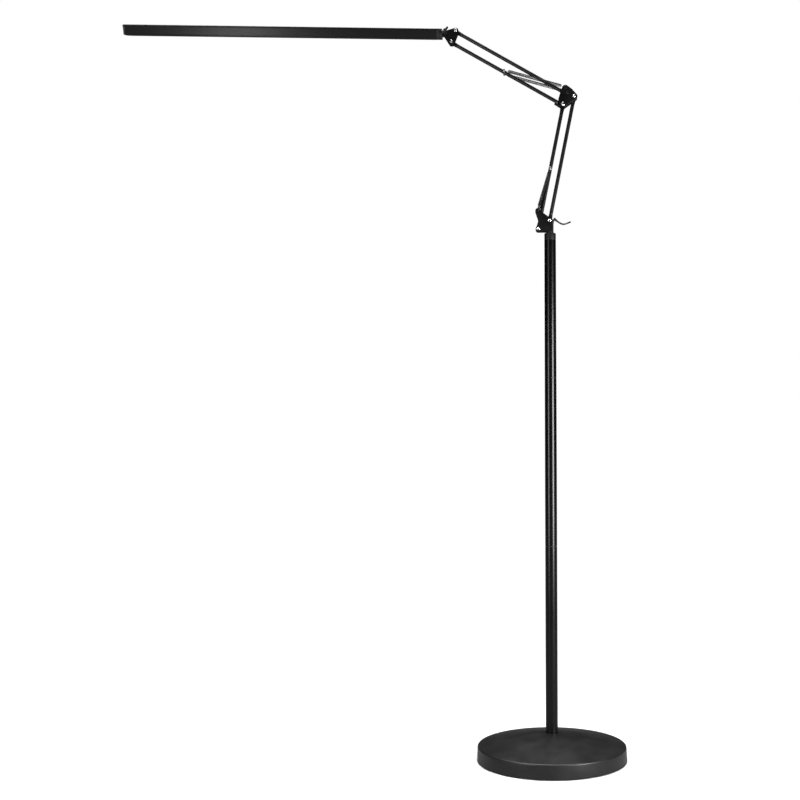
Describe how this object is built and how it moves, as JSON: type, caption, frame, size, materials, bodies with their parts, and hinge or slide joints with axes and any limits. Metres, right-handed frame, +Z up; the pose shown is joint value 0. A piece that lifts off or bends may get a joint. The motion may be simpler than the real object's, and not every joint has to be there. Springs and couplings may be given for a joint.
{
  "type": "swing-arm floor lamp",
  "caption": "LED pharmacy floor lamp: weighted round base, tall pole, swivel, two spring-balanced parallelogram arms with elbow, and a long tilting light bar.",
  "frame": {"origin": "on the floor at the centre of the round base, on the pole's axis, at the underside of the base pad", "axes": "+Z up along the pole; the arms and the light bar lie in the XZ plane at rest, with the bar reaching towards -X; -Y is the front"},
  "size_m": [1.0945, 0.3679, 1.577],
  "materials": {
    "base_paint": "satin dark grey-black powder coat",
    "ballast": "rough mineral-filled compound",
    "rubber": "matt black",
    "zinc": "zinc plated",
    "pole_paint": "semi-gloss black",
    "black_plastic": "fine-grained matt black",
    "arm_paint": "satin black",
    "chrome": "polished",
    "spring_steel": "blackened wire",
    "anodised": "satin black anodised",
    "circuit": "white solder mask",
    "opal": "opal white",
    "cord_pvc": "soft black PVC"
  },
  "bodies": {
    "stand": {"base_cover": "base_paint", "base_ballast": "ballast", "base_pad": "rubber", "base_bolt": "zinc", "base_washer": "zinc", "pole_lower": "pole_paint", "pole_middle": "pole_paint", "pole_upper": "pole_paint", "pole_foot_nut": "zinc", "pole_coupler_lower": "zinc", "pole_coupler_upper": "zinc", "pole_collar": "black_plastic", "cord_drop": "cord_pvc", "cord_foot": "cord_pvc", "cord_coil": "cord_pvc", "cord_tail": "cord_pvc", "cord_plug": "cord_pvc"},
    "arm_swivel": {"swivel_post": "black_plastic", "lower_cheek_front": "arm_paint", "lower_cheek_rear": "arm_paint", "lower_rivet_left": "chrome", "lower_rivet_right": "chrome", "cord_outlet": "rubber", "cord_upper": "cord_pvc"},
    "lower_link_left": {"lower_tube_left": "arm_paint", "lower_spring_pin": "zinc", "lower_spring_front": "spring_steel", "lower_spring_rear": "spring_steel"},
    "lower_link_right": {"lower_tube_right": "arm_paint", "lower_lead": "cord_pvc"},
    "elbow": {"elbow_cheek_front": "arm_paint", "elbow_cheek_rear": "arm_paint", "elbow_rivet_right": "chrome", "elbow_rivet_high": "chrome", "elbow_clamp_bolt": "chrome"},
    "elbow_nut": {"elbow_lever_nut": "black_plastic"},
    "upper_link_low": {"upper_tube_low": "arm_paint", "upper_spring_pin": "zinc", "upper_spring_front": "spring_steel", "upper_spring_rear": "spring_steel"},
    "upper_link_high": {"upper_tube_high": "arm_paint", "upper_lead": "cord_pvc"},
    "head_bracket": {"head_cheek_front": "arm_paint", "head_cheek_rear": "arm_paint", "head_rivet_low": "chrome", "head_rivet_high": "chrome", "head_clamp_bolt": "chrome"},
    "head_nut": {"head_wing_nut": "black_plastic"},
    "head_knuckle": {"head_knuckle": "black_plastic"},
    "lamp_head": {"head_profile": "anodised", "head_cap_inner": "black_plastic", "head_cap_outer": "black_plastic", "cap_screw_inner_front": "zinc", "cap_screw_inner_rear": "zinc", "cap_screw_outer_front": "zinc", "cap_screw_outer_rear": "zinc", "led_board": "circuit", "control_board": "circuit", "diffuser": "opal"}
  },
  "joints": [
    {"name": "pole_swivel", "type": "hinge", "parent": "stand", "child": "arm_swivel", "pos_m": [0, 0, 1.1], "axis": [0, 0, 1], "range_deg": [-175, 175]},
    {"name": "lower_arm", "type": "hinge", "parent": "arm_swivel", "child": "lower_link_left", "pos_m": [-0.0255, 0, 1.1095], "axis": [0, 1, 0], "range_deg": [-60, 15], "deforming": ["lower_spring_front", "lower_spring_rear"]},
    {"name": "lower_arm_right", "type": "hinge", "parent": "arm_swivel", "child": "lower_link_right", "pos_m": [-0.001, 0, 1.128], "axis": [0, 1, 0], "range_deg": [-60, 15]},
    {"name": "elbow_level", "type": "hinge", "parent": "lower_link_left", "child": "elbow", "pos_m": [0.02937, 0, 1.38917], "axis": [0, 1, 0], "range_deg": [-15, 60]},
    {"name": "upper_arm", "type": "hinge", "parent": "elbow", "child": "upper_link_low", "pos_m": [0.02937, 0, 1.38917], "axis": [0, 1, 0], "range_deg": [-60, 50], "deforming": ["upper_spring_front", "upper_spring_rear"]},
    {"name": "upper_arm_high", "type": "hinge", "parent": "elbow", "child": "upper_link_high", "pos_m": [0.03837, 0, 1.41467], "axis": [0, 1, 0], "range_deg": [-60, 50]},
    {"name": "head_level", "type": "hinge", "parent": "upper_link_low", "child": "head_bracket", "pos_m": [-0.21645, 0, 1.53339], "axis": [0, 1, 0], "range_deg": [-50, 60]},
    {"name": "head_tilt", "type": "hinge", "parent": "head_bracket", "child": "head_knuckle", "pos_m": [-0.22995, 0, 1.55309], "axis": [0, 1, 0], "range_deg": [-35, 60]},
    {"name": "head_roll", "type": "hinge", "parent": "head_knuckle", "child": "lamp_head", "pos_m": [-0.22995, 0, 1.55309], "axis": [-0.9999, 0, 0.014], "range_deg": [-68, 112]},
    {"name": "elbow_nut_turn", "type": "hinge", "parent": "elbow", "child": "elbow_nut", "pos_m": [0.02937, 0, 1.38917], "axis": [0, 1, 0], "continuous": true},
    {"name": "head_nut_turn", "type": "hinge", "parent": "head_bracket", "child": "head_nut", "pos_m": [-0.22995, 0, 1.55309], "axis": [0, 1, 0], "continuous": true}
  ],
  "couplings": [
    {"joint": "lower_arm_right", "follows": "lower_arm", "ratio": 1},
    {"joint": "elbow_level", "follows": "lower_arm", "ratio": -1},
    {"joint": "upper_arm_high", "follows": "upper_arm", "ratio": 1},
    {"joint": "head_level", "follows": "upper_arm", "ratio": -1}
  ]
}
